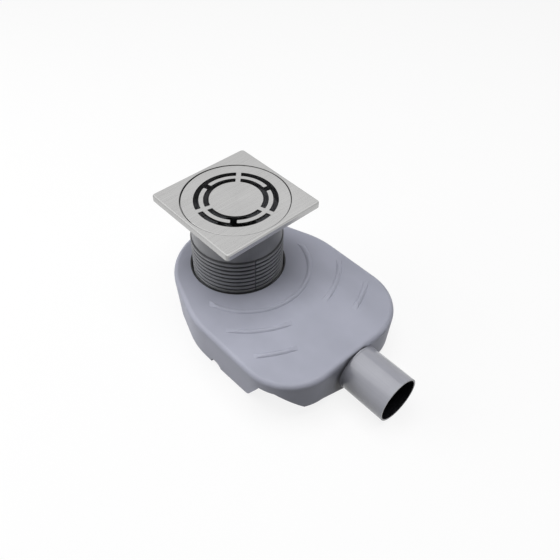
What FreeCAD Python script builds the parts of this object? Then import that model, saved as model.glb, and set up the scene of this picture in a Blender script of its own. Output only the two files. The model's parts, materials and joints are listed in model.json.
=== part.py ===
import FreeCAD, Part
import math
import os

# Floor drain: a wide flat body with a side outlet, a ribbed riser that slides in the body's neck,
# and a square frame that turns on the riser and holds a round slotted grate.
# Millimetres. Origin on the riser's axis at the body's underside, +X to the outlet, +Z up.

# Body in plan
half_width = 93.6
body_centre_y = 2.4
flank_length = 35.4
back_centre_x = 13.0
flank_angle = 20.0
bend_radius = 100.0
end_face_x = 175.5
near_corner_radius = 54.0
far_corner_radius = 59.5

# Body in height
pipe_cover = 2.5
body_wall = 3.0
side_draft = 6.6
back_draft = 3.5
end_draft = 2.5
top_edge_radius = 5.0
rim_height = 15.1
foot_end_x = 114.0
toe_rise = 4.0
toe_radius = 9.0
ramp_angle = 60.0
chine_height = 17.0
keel_half = 42.0
keel_angle = 24.0
bevel_inset = 31.6
bevel_angle = 45.0
base_thickness = 3.4
glue_gap = 0.05
notch_x = 62.5
notch_radius = 7.5
notch_rise = 0.8
notch_depth = 10.0

# Raised beads on the body's top: centre's x and y, radius, first and last angle from +X
bead_width = 6.0
bead_height = 1.7
ring_dome = 12.0
bead_dome = 2.6
bead_turn = -1.8
ring_bead = (13.0, 2.4, 68.0, -76.0, 79.0)
middle_bead = (7.0, 7.0, 101.6, 12.5, 51.0)
outer_bead = (7.0, 7.0, 132.3, 17.0, 36.0)

# Outlet
pipe_radius = 25.0
pipe_wall = 1.8
pipe_offset_y = 8.0
pipe_reach = 52.5
pipe_insert = 11.5
pipe_stop = 0.5
pipe_stop_rise = 0.4
pipe_recess = 0.8
pipe_recess_gap = 0.4
channel_wall = 2.0

# Riser
riser_radius = 47.9
riser_wall = 3.0
rib_height = 1.5
rib_root = 0.7
rib_pitch = 5.45
rib_groove = 1.7
rib_flank = 0.6
collar_length = 37.7
parting_angle = -18.0
parting_width = 1.2
parting_depth = 0.3
riser_bottom_z = 22.0
trap_ledge_drop = 51.0
ledge_thickness = 3.0

# Neck and lip seal in the body
seal_clearance = 0.3
lip_width = 2.7
seal_width = 4.3
seal_height = 11.0
neck_wall = 2.6
neck_lip = 3.0

# Frame and grate
stand_height = 86.5
frame_skirt = 1.1
frame_sheet = 2.2
frame_border = 4.2
frame_corner = 4.0
frame_round = 1.8
spigot_wall = 1.2
spigot_length = 12.0
swivel_gap = 0.3
grate_drop = 0.7
grate_thickness = 2.5
grate_seat = 10.8
grate_gap = 0.6
grate_shift = 0.35
grate_shift_angle = 55.0
grate_round = 0.4
grate_disc_radius = 27.4
slot_width = 5.7
slot_round = 0.8
ring_width = 4.5
bridge_width = 5.0
link_width = 6.8
first_bridge = 16.2
slot_count = 3

# Trap
trap_gap = 0.5
flange_thickness = 5.0
o_ring_radius = 1.3
o_ring_gap = 0.05
overflow_gap = 6.1
cup_pass = 1.6
cup_wall = 2.4
cup_gap = 8.0
dip_wall = 2.4
dip_length = 39.0
cup_floor_gap = 8.0
overflow_height = 6.0
clip_angle = 16.0
clip_hook = 2.0
clip_play = 0.2
clip_count = 3
lift_bar_width = 5.0
lift_bar_height = 4.0

# Derived places
pipe_axis_z = pipe_radius + channel_wall
body_height = pipe_axis_z + pipe_radius + pipe_cover
seal_top_z = body_height - body_wall
pipe_start_x = end_face_x - body_wall - pipe_insert
pipe_root_radius = pipe_radius + pipe_stop_rise
pipe_recess_radius = pipe_radius + channel_wall + pipe_recess_gap
frame_edge = grate_drop + grate_thickness + frame_sheet + frame_skirt
frame_top_z = body_height + stand_height
frame_bottom_z = frame_top_z - frame_edge
grate_top_z = frame_top_z - grate_drop
seat_z = grate_top_z - grate_thickness
riser_top_z = seat_z - frame_sheet
collar_bottom_z = frame_bottom_z - collar_length
riser_bore = riser_radius - riser_wall
rib_radius = riser_radius + rib_height
root_radius = riser_radius - rib_root
lip_radius = rib_radius + seal_clearance
neck_bore = lip_radius + lip_width
seal_seat_radius = lip_radius + seal_width
seal_bottom_z = seal_top_z - seal_height
neck_bottom_z = seal_bottom_z - neck_lip
spigot_radius = riser_bore + spigot_wall
grate_radius = riser_bore + grate_seat
recess_radius = grate_radius + grate_gap
frame_half = recess_radius + frame_border
ledge_z = frame_top_z - trap_ledge_drop
flange_top_z = ledge_z + flange_thickness
flange_radius = riser_bore - trap_gap
o_ring_outer = riser_bore - o_ring_gap
cup_outer = riser_bore - overflow_gap
cup_inner = cup_outer - cup_wall
dip_radius = cup_inner - cup_gap
dip_bore = dip_radius - dip_wall
dip_bottom_z = ledge_z - dip_length
cup_rim_z = ledge_z - ledge_thickness - overflow_height
cup_floor_z = dip_bottom_z - cup_floor_gap
far = 4.0 * end_face_x


def vec(x, y, z):
    return FreeCAD.Vector(x, y, z)


def tube(outer, inner, low, high):
    """Upright ring between two heights, about the riser's axis."""
    solid = Part.makeCylinder(outer, high - low, vec(0, 0, low))
    return solid.cut(Part.makeCylinder(inner, high - low, vec(0, 0, low)))


def turned(points):
    """Closed radius and height outline turned about the riser's axis."""
    corners = [vec(radius, 0, z) for radius, z in points]
    face = Part.Face(Part.makePolygon(corners + corners[:1]))
    return face.revolve(vec(0, 0, 0), vec(0, 0, 1), 360)


def sector(outer, inner, low, high, middle, spread):
    """Piece of an upright ring, spread degrees wide about a middle angle."""
    foot = vec(0, 0, low)
    wide = Part.makeCylinder(outer, high - low, foot, vec(0, 0, 1), spread)
    wide = wide.cut(Part.makeCylinder(inner, high - low, foot))
    wide.rotate(vec(0, 0, 0), vec(0, 0, 1), middle - spread / 2.0)
    return wide


def spoke(length, start, width, low, high, angle):
    """Straight bar along a radius, from start to start plus length."""
    bar = Part.makeBox(length, width, high - low, vec(start, -width / 2.0, low))
    bar.rotate(vec(0, 0, 0), vec(0, 0, 1), angle)
    return bar


def upright_edges(shape, reach):
    """Straight upright edges of a shape, nearer to the riser's axis than reach."""
    found = []
    for edge in shape.Edges:
        first = edge.Vertexes[0]
        rises = abs(first.Z - edge.Vertexes[-1].Z) > 1e-6
        if rises and isinstance(edge.Curve, Part.Line) and math.hypot(first.X, first.Y) < reach:
            found.append(edge)
    return found


def pipe_cylinder(radius, first_x, last_x):
    """Round bar on the outlet's axis."""
    start = vec(first_x, pipe_offset_y, pipe_axis_z)
    return Part.makeCylinder(radius, last_x - first_x, start, vec(1, 0, 0))


def arc(centre, radius, first, last, z):
    """Arc in plan, by its centre, radius and two angles."""
    points = []
    for angle in (first, (first + last) / 2.0, last):
        turn = math.radians(angle)
        points.append(vec(centre[0] + radius * math.cos(turn), centre[1] + radius * math.sin(turn), z))
    return Part.Arc(*points).toShape()


def body_outline(inset, z):
    """Body seen from above: a round back, spreading flanks, straight sides and a rounded far end."""
    drop = body_height - z
    side_inset = drop * math.tan(math.radians(side_draft))
    side_y = half_width - side_inset
    flank = math.radians(flank_angle)
    tangent_y = half_width - bend_radius * (1.0 - math.cos(flank)) - flank_length * math.sin(flank)
    back_radius = tangent_y / math.cos(flank)
    back = back_radius - drop * math.tan(math.radians(back_draft))
    end_x = end_face_x - drop * math.tan(math.radians(end_draft))
    near = near_corner_radius - side_inset
    distant = far_corner_radius - side_inset
    bend = bend_radius - side_inset
    lean = 90.0 + flank_angle
    across = math.cos(math.radians(lean))
    along = math.sin(math.radians(lean))
    bend_y = side_y - bend
    bend_x = back_centre_x + (back - bend - bend_y * along) / across
    arcs = [
        arc((end_x - near, body_centre_y - side_y + near), near - inset, -90, 0, z),
        arc((end_x - distant, body_centre_y + side_y - distant), distant - inset, 0, 90, z),
        arc((bend_x, body_centre_y + bend_y), bend - inset, 90, lean, z),
        arc((back_centre_x, body_centre_y), back - inset, lean, 360 - lean, z),
        arc((bend_x, body_centre_y - bend_y), bend - inset, 360 - lean, 270, z),
    ]
    edges = []
    for current, following in zip(arcs, arcs[1:] + arcs[:1]):
        edges.append(current)
        start = current.valueAt(current.LastParameter)
        finish = following.valueAt(following.FirstParameter)
        edges.append(Part.makeLine(start, finish))
    return Part.Wire(edges)


def drafted_block(inset, low, high):
    """Solid within the body's drafted walls, inset from them, between two heights."""
    return Part.makeLoft([body_outline(inset, low), body_outline(inset, high)], True, True)


def hull_block(lift):
    """Space above the far end's hull, raised by lift: a shallow keel, two flats, then steep bevels."""
    keel = math.radians(keel_angle)
    bevel = math.radians(bevel_angle)
    floor_z = chine_height + lift
    keel_y = keel_half + (lift - lift / math.cos(keel)) / math.tan(keel)
    bevel_y = half_width - bevel_inset + (lift - lift / math.cos(bevel)) / math.tan(bevel)
    right = [(keel_y, floor_z), (bevel_y, floor_z), (bevel_y + far, floor_z + far * math.tan(bevel))]
    left = [(-y, z) for y, z in reversed(right)]
    corners = [(0, floor_z - keel_y * math.tan(keel))] + right + left
    points = [vec(foot_end_x - body_height, body_centre_y + y, z) for y, z in corners]
    face = Part.Face(Part.makePolygon(points + points[:1]))
    return face.extrude(vec(far, 0, 0))


def foot_block(lift):
    """Space above the foot: flat to the notch, a slow rise to a rounded toe, then a steep ramp up."""
    rise = toe_rise / (foot_end_x - notch_x)
    ramp = math.radians(ramp_angle)
    ramp_x = foot_end_x - lift * math.sin(ramp)
    ramp_z = toe_rise + lift * math.cos(ramp)
    toe_x = (ramp_z - ramp_x * math.tan(ramp) - lift + notch_x * rise) / (rise - math.tan(ramp))
    toe_z = lift + (toe_x - notch_x) * rise
    top_x = toe_x + far / math.tan(ramp)
    corners = [(-far, lift), (notch_x, lift), (toe_x, toe_z), (top_x, toe_z + far), (-far, toe_z + far)]
    points = [vec(x, -far, z) for x, z in corners]
    face = Part.Face(Part.makePolygon(points + points[:1]))
    block = face.extrude(vec(0, 2 * far, 0))
    toe = [edge for edge in block.Edges
           if all(abs(v.X - toe_x) < 1e-6 and abs(v.Z - toe_z) < 1e-6 for v in edge.Vertexes)]
    if toe_radius > lift:
        block = block.makeFillet(toe_radius - lift, toe)
    return block


def above(z):
    """All the space above a height."""
    return Part.makeBox(2 * far, 2 * far, far, vec(-far, -far, z))


def underside(lift):
    """Everything above the body's underside, raised by lift: foot, hull and outlet channel."""
    channel = pipe_cylinder(pipe_radius + channel_wall - lift, foot_end_x - body_height, far)
    return foot_block(lift).fuse([hull_block(lift), channel]).common(above(lift))


def side_notches(grow):
    """Arched blocks at the two side notches in the foot's edge, larger by grow except at the foot."""
    blocks = []
    radius = notch_radius + grow
    foot_y = half_width - body_height * math.tan(math.radians(side_draft))
    depth = half_width - foot_y + notch_depth + grow
    for side in (-1, 1):
        near_y = body_centre_y + side * (half_width - depth / 2.0) - depth / 2.0
        arch = Part.makeCylinder(radius, depth, vec(notch_x, near_y, notch_rise), vec(0, 1, 0))
        arch = arch.fuse(Part.makeBox(2 * radius, depth, notch_rise, vec(notch_x - radius, near_y, 0)))
        blocks.append(arch.common(above(0)))
    return blocks


def bead(centre_x, centre_y, radius, first, last, dome_height):
    """Rounded bar bent to an arc, its ends cut by a wide dome so that they sink into the body's top."""
    half = bead_width / 2.0
    round_radius = (bead_height ** 2 + half ** 2) / (2.0 * bead_height)
    middle_z = body_height + bead_height - round_radius
    tail = math.degrees(bead_width / radius)
    spread = last - first + 2 * tail
    ring = Part.makeTorus(radius, round_radius, vec(0, 0, middle_z), vec(0, 0, 1), -180, 180, spread)
    ring.rotate(vec(0, 0, 0), vec(0, 0, 1), first - tail)
    reach = 2.0 * radius * math.sin(math.radians(last - first) / 4.0)
    dome_radius = (reach ** 2 + dome_height ** 2) / (2.0 * dome_height)
    turn = math.radians((first + last) / 2.0)
    dome_z = body_height + dome_height - dome_radius
    dome = Part.makeSphere(dome_radius, vec(radius * math.cos(turn), radius * math.sin(turn), dome_z))
    shape = ring.common(dome).common(above(body_height - body_wall / 2.0))
    shape.translate(vec(centre_x, centre_y, 0))
    return shape


def make_body_shell():
    block = drafted_block(0, -body_wall, body_height)
    top = [edge for edge in block.Edges if all(abs(v.Z - body_height) < 1e-6 for v in edge.Vertexes)]
    block = block.makeFillet(top_edge_radius, top)
    block = block.common(underside(0).fuse(above(body_height - rim_height)))
    shell = block.cut(drafted_block(body_wall, -2 * body_wall, seal_top_z))
    beads = [bead(*ring_bead, ring_dome)]
    for centre_x, centre_y, radius, first, last in (middle_bead, outer_bead):
        beads.append(bead(centre_x, centre_y, radius, bead_turn + first, bead_turn + last, bead_dome))
        beads.append(bead(centre_x, centre_y, radius, bead_turn - last, bead_turn - first, bead_dome))
    neck = tube(seal_seat_radius + neck_wall, neck_bore, neck_bottom_z, body_height - body_wall / 2.0)
    shell = shell.fuse(beads + [neck])
    shell = shell.cut(Part.makeCylinder(neck_bore, far, vec(0, 0, neck_bottom_z)))
    shell = shell.cut(tube(seal_seat_radius, neck_bore - lip_width, seal_bottom_z, seal_top_z))
    shell = shell.cut(pipe_cylinder(pipe_root_radius, pipe_start_x, far))
    shell = shell.cut(pipe_cylinder(pipe_recess_radius, end_face_x - pipe_recess, far))
    return shell.cut(side_notches(0)).removeSplitter()


def make_base_plate():
    skin = underside(0).fuse(above(body_height - rim_height)).cut(underside(base_thickness))
    plate = drafted_block(body_wall + glue_gap, 0, seal_top_z)
    skin = skin.fuse(side_notches(body_wall))
    plate = plate.common(skin).cut(side_notches(0))
    return plate.cut(pipe_cylinder(pipe_root_radius, pipe_start_x, far)).removeSplitter()


def make_outlet_pipe():
    pipe_end_x = end_face_x + pipe_reach
    root = pipe_cylinder(pipe_root_radius, pipe_start_x, end_face_x + pipe_stop)
    pipe = root.fuse(pipe_cylinder(pipe_radius, pipe_start_x, pipe_end_x))
    return pipe.cut(pipe_cylinder(pipe_radius - pipe_wall, pipe_start_x, pipe_end_x)).removeSplitter()


def make_riser_seal():
    third = seal_height / 3.0
    return turned([
        (seal_seat_radius, seal_bottom_z),
        (seal_seat_radius, seal_top_z),
        (neck_bore, seal_top_z),
        (neck_bore, body_height),
        (lip_radius + lip_width / 2.0, body_height),
        (lip_radius, body_height - lip_width),
        (lip_radius, seal_top_z - lip_width),
        (neck_bore, seal_bottom_z + 2 * third),
        (lip_radius, seal_bottom_z + third),
        (lip_radius, seal_bottom_z + third - lip_width),
        (neck_bore, seal_bottom_z),
    ])


def make_riser():
    outline = [(riser_bore, riser_bottom_z), (root_radius, riser_bottom_z)]
    ribs = []
    rib_top = collar_bottom_z - rib_groove
    while rib_top - rib_pitch > riser_bottom_z:
        rib_bottom = rib_top - rib_pitch + rib_groove
        ribs.append((root_radius, rib_top))
        ribs.append((rib_radius, rib_top - rib_flank))
        ribs.append((rib_radius, rib_bottom + rib_flank))
        ribs.append((root_radius, rib_bottom))
        rib_top -= rib_pitch
    outline += reversed(ribs)
    socket = spigot_radius + swivel_gap
    socket_z = riser_top_z - spigot_length - swivel_gap
    ledge_radius = cup_outer + cup_pass
    ledge_bottom_z = ledge_z - ledge_thickness
    outline += [
        (root_radius, collar_bottom_z),
        (riser_radius, collar_bottom_z),
        (riser_radius, riser_top_z),
        (socket, riser_top_z),
        (socket, socket_z),
        (riser_bore, socket_z),
        (riser_bore, ledge_z),
        (ledge_radius, ledge_z),
        (ledge_radius, ledge_bottom_z),
        (riser_bore, ledge_bottom_z - riser_bore + ledge_radius),
    ]
    riser = turned(outline)
    start = root_radius - parting_depth
    partings = [spoke(riser_radius, start, parting_width, riser_bottom_z, collar_bottom_z, angle)
                for angle in (parting_angle, parting_angle + 180)]
    return riser.cut(partings)


def make_top_frame():
    side = 2 * frame_half
    block = Part.makeBox(side, side, frame_edge, vec(-frame_half, -frame_half, frame_bottom_z))
    block = block.makeFillet(frame_corner, upright_edges(block, far))
    top = [edge for edge in block.Edges if all(abs(v.Z - frame_top_z) < 1e-6 for v in edge.Vertexes)]
    block = block.makeFillet(frame_round, top)
    hollow_half = frame_half - frame_sheet
    hollow = Part.makeBox(2 * hollow_half, 2 * hollow_half, frame_edge - frame_sheet,
                          vec(-hollow_half, -hollow_half, frame_bottom_z))
    cup = Part.makeCylinder(recess_radius + frame_sheet, frame_edge, vec(0, 0, frame_bottom_z))
    hollow = hollow.cut(cup)
    frame = block.cut(hollow)
    under_seat = Part.makeCylinder(recess_radius, riser_top_z - frame_bottom_z, vec(0, 0, frame_bottom_z))
    frame = frame.cut([under_seat, Part.makeCylinder(recess_radius, far, vec(0, 0, seat_z))])
    frame = frame.cut(Part.makeCylinder(riser_bore, far, vec(0, 0, frame_bottom_z)))
    spigot = tube(spigot_radius, riser_bore, riser_top_z - spigot_length, riser_top_z + frame_sheet / 2.0)
    return frame.fuse(spigot).removeSplitter()


def make_grate():
    disc = Part.makeCylinder(grate_radius, grate_thickness, vec(0, 0, seat_z))
    rim = [edge for edge in disc.Edges if abs(edge.BoundBox.ZMin - grate_top_z) < 1e-6]
    disc = disc.makeFillet(grate_round, rim)
    ring_inner = grate_disc_radius + slot_width
    ring_outer = ring_inner + ring_width
    rings = [
        tube(ring_inner, grate_disc_radius, seat_z, grate_top_z),
        tube(ring_outer + slot_width, ring_outer, seat_z, grate_top_z),
    ]
    step = 360.0 / slot_count
    for index in range(slot_count):
        bridge_angle = first_bridge + index * step
        bridge = spoke(grate_radius, 0, bridge_width, seat_z, grate_top_z, bridge_angle)
        rings = [ring.cut(bridge) for ring in rings]
    links = []
    for index in range(slot_count):
        link_angle = first_bridge + (index + 0.5) * step
        middle = slot_width / 2.0
        links.append(spoke(ring_width + slot_width, ring_inner - middle, link_width,
                           seat_z, grate_top_z, link_angle))
    grate = disc.cut(rings + links)
    grate = grate.makeFillet(slot_round, upright_edges(grate, grate_radius - grate_round))
    shift = math.radians(grate_shift_angle)
    grate.translate(vec(grate_shift * math.cos(shift), grate_shift * math.sin(shift), 0))
    return grate


def clip_sectors(outer, inner, low, high, play):
    """The cup's clips, or with play the slots that they pass through."""
    widen = 2.0 * math.degrees(play / cup_outer)
    step = 360.0 / clip_count
    return [sector(outer + play, inner - play, low, high, index * step, clip_angle + widen)
            for index in range(clip_count)]


def make_trap_funnel():
    groove = o_ring_outer - 2 * o_ring_radius
    groove_z = ledge_z + flange_thickness / 2.0
    funnel = tube(flange_radius, dip_bore, ledge_z, flange_top_z)
    funnel = funnel.cut(tube(flange_radius, groove, groove_z - o_ring_radius, groove_z + o_ring_radius))
    bar_length = dip_bore + dip_radius
    bar = Part.makeBox(bar_length, lift_bar_width, lift_bar_height,
                       vec(-bar_length / 2.0, -lift_bar_width / 2.0, flange_top_z - lift_bar_height))
    funnel = funnel.fuse([tube(dip_radius, dip_bore, dip_bottom_z, flange_top_z), bar])
    return funnel.cut(clip_sectors(cup_outer, cup_inner, ledge_z, flange_top_z, clip_play)).removeSplitter()


def make_trap_cup():
    cup_bottom_z = cup_floor_z - cup_wall
    cup = tube(cup_outer, cup_inner, cup_bottom_z, cup_rim_z)
    cup = cup.fuse(Part.makeCylinder(cup_outer, cup_wall, vec(0, 0, cup_bottom_z)))
    hook_top = flange_top_z + clip_hook
    clips = clip_sectors(cup_outer, cup_inner, cup_rim_z - cup_wall, hook_top, 0)
    hooks = clip_sectors(cup_outer + clip_hook, cup_inner, flange_top_z, hook_top, 0)
    return cup.fuse(clips + hooks).removeSplitter()


def make_trap_o_ring():
    middle = o_ring_outer - o_ring_radius
    return Part.makeTorus(middle, o_ring_radius, vec(0, 0, ledge_z + flange_thickness / 2.0))


pieces = {
    "grate": make_grate,
    "top_frame": make_top_frame,
    "riser": make_riser,
    "riser_seal": make_riser_seal,
    "body_shell": make_body_shell,
    "base_plate": make_base_plate,
    "outlet_pipe": make_outlet_pipe,
    "trap_funnel": make_trap_funnel,
    "trap_cup": make_trap_cup,
    "trap_o_ring": make_trap_o_ring,
}

os.makedirs("parts", exist_ok=True)
for name, make in pieces.items():
    shape = make()
    shape.exportStep("parts/" + name + ".step")
    print(name, "valid", shape.isValid(), "solids", len(shape.Solids), "volume", round(shape.Volume))
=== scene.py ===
import json
import math

import bpy
from mathutils import Matrix, Vector

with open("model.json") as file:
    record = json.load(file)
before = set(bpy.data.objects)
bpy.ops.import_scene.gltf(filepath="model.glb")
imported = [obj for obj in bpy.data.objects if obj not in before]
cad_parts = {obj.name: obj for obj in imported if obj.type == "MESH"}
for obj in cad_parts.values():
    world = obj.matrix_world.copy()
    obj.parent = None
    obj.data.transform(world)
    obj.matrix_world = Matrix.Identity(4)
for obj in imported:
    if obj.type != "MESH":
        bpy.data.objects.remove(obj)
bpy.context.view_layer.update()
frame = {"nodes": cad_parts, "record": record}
nodes = frame["nodes"]
mounts = {mount["name"]: mount for mount in frame["record"]["mounts"]}
print("frame loaded:", len(nodes), "solids")


# A value or colour on its way through a material. Sums and products of values add Math nodes.
class Flow:
    def __init__(self, tree, socket):
        self.tree = tree
        self.socket = socket

    # any node by its type: settings first, then the values or links of its sockets
    def node(self, kind, settings=None, sockets=None, out=0):
        made = self.tree.nodes.new(kind)
        for name, value in (settings or {}).items():
            setattr(made, name, value)
        for name, value in (sockets or {}).items():
            plug(self.tree, made.inputs[name], value)
        return Flow(self.tree, made.outputs[out])

    def maths(self, operation, first, second=0.0):
        return self.node("ShaderNodeMath", {"operation": operation}, {0: first, 1: second})

    def __add__(self, other):
        return self.maths("ADD", self, other)

    def __radd__(self, other):
        return self.maths("ADD", other, self)

    def __sub__(self, other):
        return self.maths("SUBTRACT", self, other)

    def __rsub__(self, other):
        return self.maths("SUBTRACT", other, self)

    def __mul__(self, other):
        return self.maths("MULTIPLY", self, other)

    def __rmul__(self, other):
        return self.maths("MULTIPLY", other, self)

    # 0 below low, 1 above high, eased between
    def step(self, low, high):
        sockets = {"Value": self, "From Min": low, "From Max": high}
        return self.node("ShaderNodeMapRange", {"interpolation_type": "SMOOTHSTEP"}, sockets)

    # the same step, with its two ends given as distances past a start
    def past(self, start, ends):
        return self.step(start + ends[0], start + ends[1])

    # colour between two, by this value
    def blend(self, first, second):
        sockets = {"Factor": self, 6: first, 7: second}
        return self.node("ShaderNodeMix", {"data_type": "RGBA"}, sockets, out=2)

    # noise over the piece, stretched by three scales per metre
    def noise(self, scales, detail, rough=0.55):
        place = self.node("ShaderNodeMapping", None, {"Vector": self, "Scale": scales})
        sockets = {"Vector": place, "Scale": 1.0, "Detail": detail, "Roughness": rough}
        return self.node("ShaderNodeTexNoise", None, sockets)

    def axis(self, index):
        return self.node("ShaderNodeSeparateXYZ", None, {"Vector": self}, out=index)

    # distance from a line through a centre, along the axis that has a zero in keep
    def radius(self, centre, keep):
        away = tuple(-middle * kept for middle, kept in zip(centre, keep))
        place = self.node("ShaderNodeMapping", None, {"Vector": self, "Location": away, "Scale": keep})
        return self.node("ShaderNodeVectorMath", {"operation": "LENGTH"}, {0: place}, out=1)

    # surface normal raised by a height in metres
    def bump(self, depth, strength=1.0):
        return self.node("ShaderNodeBump", None, {"Height": self, "Distance": depth, "Strength": strength})


def plug(tree, socket, value):
    if isinstance(value, Flow):
        tree.links.new(value.socket, socket)
    else:
        socket.default_value = value


def rgb(red, green, blue):
    return (red, green, blue, 1.0)


# one noise scale for all three directions
def even(scale):
    return (scale, scale, scale)


# A material with a Principled shader and the piece's own coordinates
def startMaterial(name):
    material = bpy.data.materials.new(name)
    material.use_nodes = True
    tree = material.node_tree
    shader = tree.nodes["Principled BSDF"]
    coordinates = tree.nodes.new("ShaderNodeTexCoord")
    return material, tree, shader, Flow(tree, coordinates.outputs["Object"])


def setShader(tree, shader, values):
    for name, value in values.items():
        plug(tree, shader.inputs[name], value)


# Where the riser's axis and the outlet pipe lie: metres, with a zero for the direction along each
riserAxis = {"centre": (0, 0, 0), "keep": (1, 1, 0)}
pipeAxis = {"centre": mounts["outlet"]["pos_m"], "keep": (0, 1, 1)}
pipeRadius = mounts["outlet"]["dims"]["r_mm"] / 1000
boreRadius = mounts["outlet_bore"]["dims"]["r_mm"] / 1000
# the pipe meets the end wall half its free length before its middle
pipeRoot = mounts["outlet"]["pos_m"][0] - mounts["outlet"]["dims"]["length_mm"] / 2000
# noise values at which a finish reaches its darker and its lighter colour
toneEnds = (0.3, 0.7)


# Brushed sheet: hairlines are noise squeezed across the stroke and stretched along it, with painted shade in
# the gap at the grate's seat and a rounded rim painted darker, as shade over its highlight. Distances are from
# seat and side, in metres.
steel = {"light": rgb(0.515, 0.513, 0.51), "dark": rgb(0.445, 0.443, 0.44),
         "hair": (5200.0, 26.0, 900.0), "broad": (420.0, 9.0, 90.0), "cloud": 22.0,
         "toneShares": (0.6, 0.25, 0.15), "reliefShares": (0.7, 0.3), "depth": 0.000007,
         "rough": 0.22, "roughGrain": 0.12, "stroke": 0.4,
         "soil": rgb(0.06, 0.06, 0.06), "seatGap": 0.0006, "soilWidth": 0.0008, "soilFrom": (-0.048, -0.012),
         "dull": rgb(0.36, 0.36, 0.357), "dullRough": 0.16,
         "rimInner": (0.0011, 0.0017), "rimOuter": (0.0001, 0.0005)}


def brushedSteel(name):
    material, tree, shader, place = startMaterial(name)
    hair = place.noise(steel["hair"], detail=4.0)
    broad = place.noise(steel["broad"], detail=2.0)
    cloud = place.noise(even(steel["cloud"]), detail=2.0)
    hairShare, broadShare, cloudShare = steel["toneShares"]
    grain = hair * hairShare + broad * broadShare + cloud * cloudShare
    skin = grain.step(*toneEnds).blend(steel["dark"], steel["light"])
    # the painted shade in the seam starts just inside the seat's edge and fades outward over its width
    seat = nodes["grate"].dimensions.x / 2 + steel["seatGap"]
    width = steel["soilWidth"]
    away = place.radius(**riserAxis)
    seamShadeMask = away.past(seat, (-width, -width / 2)) * (1.0 - away.past(seat, (0.0, width)))
    # and fades out toward the far side: x less y, over the root of two, is the distance from the plate's
    # diagonal
    seamShadeMask = seamShadeMask * ((place.axis(0) - place.axis(1)) * math.sqrt(0.5)).step(*steel["soilFrom"])
    # how far in from the frame's side: half the side less the larger of the two distances from the middle
    across, along = (place.maths("ABSOLUTE", place.axis(index)) for index in (0, 1))
    inset = nodes["top_frame"].dimensions.x / 2 - place.maths("MAXIMUM", across, along)
    # the rounded rim between plate and side face, painted darker as painted shade over its highlight, and made
    # rougher
    rim = (1.0 - inset.step(*steel["rimInner"])) * inset.step(*steel["rimOuter"])
    hairRelief, broadRelief = steel["reliefShares"]
    setShader(tree, shader, {
        "Base Color": rim.blend(seamShadeMask.blend(skin, steel["soil"]), steel["dull"]),
        "Metallic": 1.0,
        "Roughness": grain * steel["roughGrain"] + rim * steel["dullRough"] + steel["rough"],
        "Anisotropic": steel["stroke"],
        "Normal": (hair * hairRelief + broad * broadRelief).bump(steel["depth"]),
    })
    return material


# Moulded shell: a fine spark-eroded grain, slow clouding, and painted shade on the end wall round the pipe's
# upper near side.
# The painted shade's distances are from the pipe's skin, its root, its axis sideways and its top, in metres.
shell = {"pale": rgb(0.40, 0.41, 0.485), "deep": rgb(0.34, 0.35, 0.415),
         "cloud": 16.0, "flow": (9.0, 30.0, 30.0), "cloudShare": 0.6, "grain": 2600.0,
         "depth": 0.00003, "relief": 0.6, "rough": 0.39, "roughGrain": 0.12, "roughCloud": 0.1, "shine": 0.32,
         "joint": rgb(0.03, 0.03, 0.036), "jointLine": (0.0032, 0.011), "jointHaze": (0.002, 0.035),
         "hazeShare": 0.5, "jointFrom": (-0.010, -0.004), "jointSide": (0.005, 0.013),
         "jointTop": (0.0005, 0.0022)}


def mouldedShell(name):
    material, tree, shader, place = startMaterial(name)
    grain = place.noise(even(shell["grain"]), detail=2.0)
    cloud = place.noise(even(shell["cloud"]), detail=3.0)
    flowLines = place.noise(shell["flow"], detail=2.0)
    tone = cloud * shell["cloudShare"] + flowLines * (1.0 - shell["cloudShare"])
    skin = tone.step(*toneEnds).blend(shell["deep"], shell["pale"])
    # painted shade: a line close to the pipe and a haze further out, only on the end wall's near side below the
    # top
    away = place.radius(**pipeAxis)
    line = (1.0 - away.past(pipeRadius, shell["jointLine"])) * (1.0 - shell["hazeShare"])
    haze = (1.0 - away.past(pipeRadius, shell["jointHaze"])) * shell["hazeShare"]
    middleY, middleZ = pipeAxis["centre"][1:]
    endWall = place.axis(0).past(pipeRoot, shell["jointFrom"])
    nearSide = 1.0 - place.axis(1).past(middleY, shell["jointSide"])
    belowTop = 1.0 - place.axis(2).past(middleZ + pipeRadius, shell["jointTop"])
    joint = (line + haze) * endWall * belowTop * nearSide
    setShader(tree, shader, {
        "Base Color": joint.blend(skin, shell["joint"]),
        "Roughness": grain * shell["roughGrain"] + cloud * shell["roughCloud"] + shell["rough"],
        "Specular IOR Level": shell["shine"],
        "Normal": grain.bump(shell["depth"], shell["relief"]),
    })
    return material


# Riser: dark grey moulding with a soft sheen, faint upright drag marks, and painted shade in the grooves
# between its ribs.
# The painted shade's distances are from the ribs' crests, and the collar's foot is a height, in metres.
sleeve = {"pale": rgb(0.30, 0.304, 0.32), "deep": rgb(0.227, 0.23, 0.243),
          "drag": (900.0, 900.0, 24.0), "cloud": 30.0, "dragShare": 0.2, "grain": 2200.0, "grainShare": 0.6,
          "depth": 0.00003, "relief": 0.6, "rough": 0.30, "roughTone": 0.2,
          "groove": rgb(0.11, 0.112, 0.12), "grooveFoot": (-0.0029, -0.0019), "grooveMouth": (-0.0008, -0.0001),
          "collarFoot": (0.0962, 0.097)}


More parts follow.
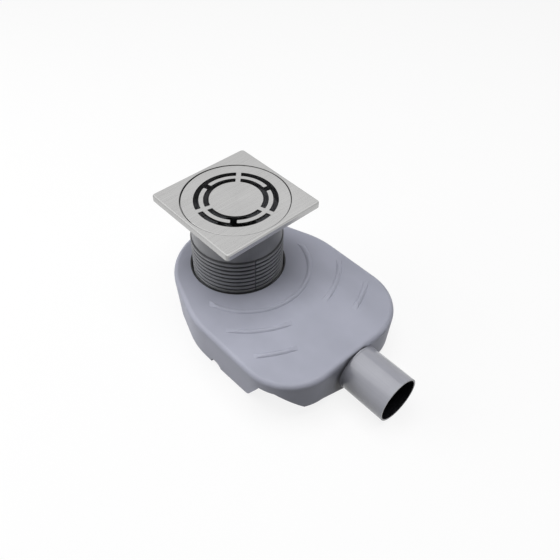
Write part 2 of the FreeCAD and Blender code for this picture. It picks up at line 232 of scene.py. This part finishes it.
def riserPlastic(name):
    material, tree, shader, place = startMaterial(name)
    grain = place.noise(even(sleeve["grain"]), detail=2.0)
    drag = place.noise(sleeve["drag"], detail=3.0)
    cloud = place.noise(even(sleeve["cloud"]), detail=2.0)
    tone = drag * sleeve["dragShare"] + cloud * (1.0 - sleeve["dragShare"])
    skin = tone.step(*toneEnds).blend(sleeve["deep"], sleeve["pale"])
    # painted shade outside the bore, inside the ribs' crests, below the collar
    crest = nodes["riser"].dimensions.x / 2
    away = place.radius(**riserAxis)
    groove = away.past(crest, sleeve["grooveFoot"]) * (1.0 - away.past(crest, sleeve["grooveMouth"]))
    groove = groove * (1.0 - place.axis(2).step(*sleeve["collarFoot"]))
    relief = grain * sleeve["grainShare"] + drag * (1.0 - sleeve["grainShare"])
    setShader(tree, shader, {
        "Base Color": groove.blend(skin, sleeve["groove"]),
        "Roughness": tone * sleeve["roughTone"] + sleeve["rough"],
        "Normal": relief.bump(sleeve["depth"], sleeve["relief"]),
    })
    return material


# Pipe: smooth extruded plastic with faint draw lines along its length, and painted shade, near black, in its
# bore
stub = {"pale": rgb(0.322, 0.327, 0.37), "deep": rgb(0.28, 0.284, 0.324),
        "draw": (8.0, 700.0, 700.0), "cloud": 30.0, "drawShare": 0.3,
        "depth": 0.00001, "relief": 0.5, "rough": 0.13, "roughTone": 0.12, "shine": 0.9,
        "lining": rgb(0.012, 0.012, 0.014), "liningEnds": (0.0003, 0.0006)}


def drawnPipe(name):
    material, tree, shader, place = startMaterial(name)
    drawLines = place.noise(stub["draw"], detail=3.0)
    cloud = place.noise(even(stub["cloud"]), detail=2.0)
    tone = drawLines * stub["drawShare"] + cloud * (1.0 - stub["drawShare"])
    skin = tone.step(*toneEnds).blend(stub["deep"], stub["pale"])
    # the painted shade ends a hair outside the bore's wall
    outside = place.radius(**pipeAxis).past(boreRadius, stub["liningEnds"])
    setShader(tree, shader, {
        "Base Color": outside.blend(stub["lining"], skin),
        "Roughness": tone * stub["roughTone"] + stub["rough"],
        "Specular IOR Level": stub["shine"],
        "Normal": drawLines.bump(stub["depth"], stub["relief"]),
    })
    return material


# Trap mouldings: the riser's plastic, blacker and a little smoother
insert = {"pale": rgb(0.125, 0.13, 0.14), "deep": rgb(0.09, 0.094, 0.102), "cloud": 36.0, "grain": 2400.0,
          "depth": 0.00002, "relief": 0.5, "rough": 0.28, "roughCloud": 0.16}


def trapPlastic(name):
    material, tree, shader, place = startMaterial(name)
    cloud = place.noise(even(insert["cloud"]), detail=3.0)
    grain = place.noise(even(insert["grain"]), detail=2.0)
    setShader(tree, shader, {
        "Base Color": cloud.step(*toneEnds).blend(insert["deep"], insert["pale"]),
        "Roughness": cloud * insert["roughCloud"] + insert["rough"],
        "Normal": grain.bump(insert["depth"], insert["relief"]),
    })
    return material


# Seals: black rubber with a dry bloom
seal = {"pale": rgb(0.03, 0.03, 0.032), "deep": rgb(0.012, 0.012, 0.013), "bloom": 120.0,
        "bloomEnds": (0.35, 0.7), "depth": 0.00004, "relief": 0.6, "rough": 0.52, "roughBloom": 0.2}


def blackRubber(name):
    material, tree, shader, place = startMaterial(name)
    bloom = place.noise(even(seal["bloom"]), detail=4.0)
    setShader(tree, shader, {
        "Base Color": bloom.step(*seal["bloomEnds"]).blend(seal["deep"], seal["pale"]),
        "Roughness": bloom * seal["roughBloom"] + seal["rough"],
        "Normal": bloom.bump(seal["depth"], seal["relief"]),
    })
    return material


finishes = {
    "grate": brushedSteel("grateSteel"),
    "top_frame": brushedSteel("frameSteel"),
    "riser": riserPlastic("riserPlastic"),
    "body_shell": mouldedShell("shellPlastic"),
    "base_plate": mouldedShell("basePlastic"),
    "outlet_pipe": drawnPipe("pipePlastic"),
    "trap_funnel": trapPlastic("funnelPlastic"),
    "trap_cup": trapPlastic("cupPlastic"),
    "riser_seal": blackRubber("sealRubber"),
    "trap_o_ring": blackRubber("ringRubber"),
}
for node, material in finishes.items():
    slots = nodes[node].data.materials
    slots.clear()
    slots.append(material)
print("finishes set:", len(finishes))


# Floor and sky: white to the eye and in reflections, with the object's soft shadow kept on the floor
studio = {"floorSize": 6.0, "pale": rgb(0.95, 0.95, 0.95), "dim": rgb(0.29, 0.29, 0.29),
          "glow": 0.85, "sky": 0.05, "aim": (0.06, 0.0, 0.05), "reach": 1.5}
# lamps by direction, sides and watts: three for the matt light, two that only show as reflections
lamps = {
    "key": {"aim": (-0.625, -0.652, 0.423), "sides": (1.2, 1.2), "watts": 13.4, "gleam": False},
    "top": {"aim": (0.0, 0.0, 1.0), "sides": (1.3, 1.3), "watts": 20.0, "gleam": False},
    "fill": {"aim": (0.5, 0.85, 0.15), "sides": (1.0, 1.0), "watts": 3.6, "gleam": False},
    "topGleam": {"aim": (0.0, 0.1, 1.0), "sides": (1.5, 1.5), "watts": 6.0, "gleam": True},
    "sideGleam": {"aim": (-0.563, -0.366, 0.741), "sides": (1.55, 1.0), "watts": 5.0, "gleam": True},
}


# 1 for a ray from the camera, a reflection or a clear piece, 0 for the rays of matt light
def seenRay(tree):
    path = tree.nodes.new("ShaderNodeLightPath")
    kinds = ("Is Camera Ray", "Is Glossy Ray", "Is Transmission Ray")
    camera, glossy, clear = (Flow(tree, path.outputs[kind]) for kind in kinds)
    return camera.maths("MAXIMUM", camera.maths("MAXIMUM", camera, glossy), clear)


# a flat square; seen rays get the pale colour and a share of white glow, matt light only the dim colour
def makeFloor():
    half = studio["floorSize"] / 2
    corners = [(-half, -half, 0), (half, -half, 0), (half, half, 0), (-half, half, 0)]
    mesh = bpy.data.meshes.new("floor")
    mesh.from_pydata(corners, [], [(0, 1, 2, 3)])
    floor = bpy.data.objects.new("floor", mesh)
    bpy.context.scene.collection.objects.link(floor)
    material, tree, shader, place = startMaterial("paleFloor")
    seen = seenRay(tree)
    setShader(tree, shader, {
        "Base Color": seen.blend(studio["dim"], studio["pale"]),
        "Roughness": 1.0,
        "Specular IOR Level": 0.0,
    })
    glow = place.node("ShaderNodeEmission", None, {"Color": rgb(1, 1, 1), "Strength": 1.0})
    matt = Flow(tree, shader.outputs[0])
    mixed = place.node("ShaderNodeMixShader", None, {0: seen * studio["glow"], 1: matt, 2: glow})
    plug(tree, tree.nodes["Material Output"].inputs["Surface"], mixed)
    mesh.materials.append(material)


# a white sky for seen rays and a faint one for matt light
def makeSky():
    world = bpy.data.worlds.new("studio")
    bpy.context.scene.world = world
    world.use_nodes = True
    tree = world.node_tree
    background = tree.nodes["Background"]
    background.inputs["Color"].default_value = rgb(1, 1, 1)
    plug(tree, background.inputs["Strength"], seenRay(tree) * (1.0 - studio["sky"]) + studio["sky"])


# a flat lamp at the studio's reach from the object, in the direction of its aim, facing the object
def makeLamp(name, lamp):
    data = bpy.data.lights.new(name + "Lamp", "AREA")
    data.shape = "RECTANGLE"
    data.size, data.size_y = lamp["sides"]
    data.energy = lamp["watts"]
    made = bpy.data.objects.new(name + "Lamp", data)
    away = Vector(lamp["aim"]).normalized()
    made.location = Vector(studio["aim"]) + studio["reach"] * away
    made.rotation_euler = away.to_track_quat("Z", "Y").to_euler()
    made.visible_diffuse = not lamp["gleam"]
    made.visible_glossy = lamp["gleam"]
    bpy.context.scene.collection.objects.link(made)


# Camera: fitted to the photograph's square frame, given by its place in metres and three angles in degrees.
# The focal length is in pixels of a picture of the given width, and the sensor's width in millimetres.
view = {"place": (0.3949, -0.3125, 0.5461), "azimuth": 46.32, "elevation": 46.18, "roll": -1.46,
        "focalPixels": 635.9, "picturePixels": 560.0, "sensor": 36.0}


# back points from the object to the camera; right and down are turned about it by the roll
def makeCamera():
    data = bpy.data.cameras.new("camera")
    data.sensor_width = view["sensor"]
    data.lens = view["sensor"] * view["focalPixels"] / view["picturePixels"]
    camera = bpy.data.objects.new("camera", data)
    bpy.context.scene.collection.objects.link(camera)
    turn, rise, roll = (math.radians(view[name]) for name in ("azimuth", "elevation", "roll"))
    back = Vector((math.sin(turn) * math.cos(rise), -math.cos(turn) * math.cos(rise), math.sin(rise)))
    right = (-back).cross(Vector((0, 0, 1))).normalized()
    down = (-back).cross(right)
    rolledRight = math.cos(roll) * right + math.sin(roll) * down
    rolledDown = math.cos(roll) * down - math.sin(roll) * right
    axes = Matrix((rolledRight, -rolledDown, back)).transposed()
    camera.matrix_world = Matrix.Translation(view["place"]) @ axes.to_4x4()
    bpy.context.scene.camera = camera


makeFloor()
makeSky()
for name, lamp in lamps.items():
    makeLamp(name, lamp)
makeCamera()
bpy.context.scene.view_settings.view_transform = "Standard"
print("studio set")
